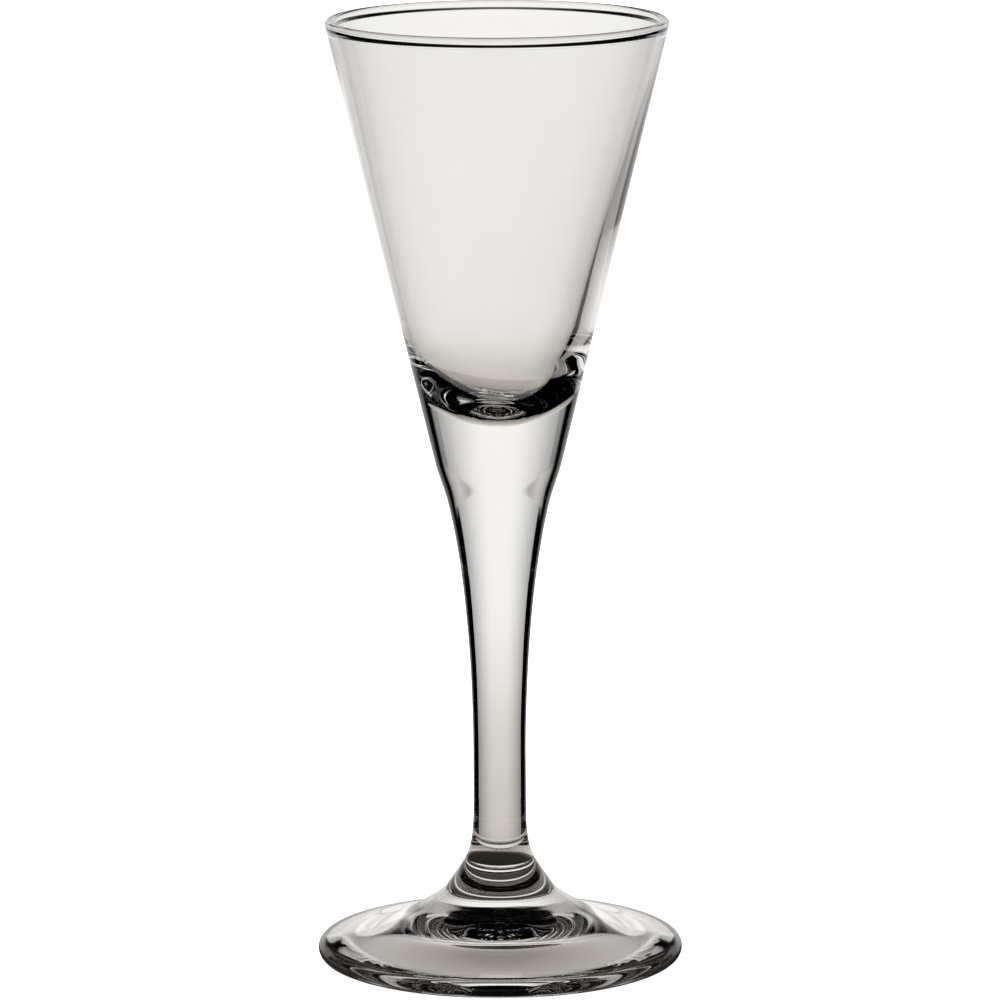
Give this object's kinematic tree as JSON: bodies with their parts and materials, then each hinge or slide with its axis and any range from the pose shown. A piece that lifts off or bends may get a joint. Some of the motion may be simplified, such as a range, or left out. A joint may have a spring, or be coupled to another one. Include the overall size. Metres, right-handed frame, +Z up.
{
  "type": "cordial glass",
  "caption": "Stemmed cordial glass in clear glass: a slim flared bowl with a thick solid base, a drawn stem that narrows to a waist, and a round domed foot to stand on.",
  "frame": {"origin": "centre of the circle that the foot rests on, in the plane of the table top", "axes": "+Z up along the stem, from the foot to the rim; the glass is turned about Z, so +X and +Y are any two level directions, and the picture looks along +Y"},
  "size_m": [0.056, 0.056, 0.145],
  "materials": {
    "clear_glass": "clear, fire polished, smooth all over"
  },
  "bodies": {
    "root": {"bowl": "clear_glass", "stem": "clear_glass", "foot": "clear_glass"}
  },
  "joints": []
}
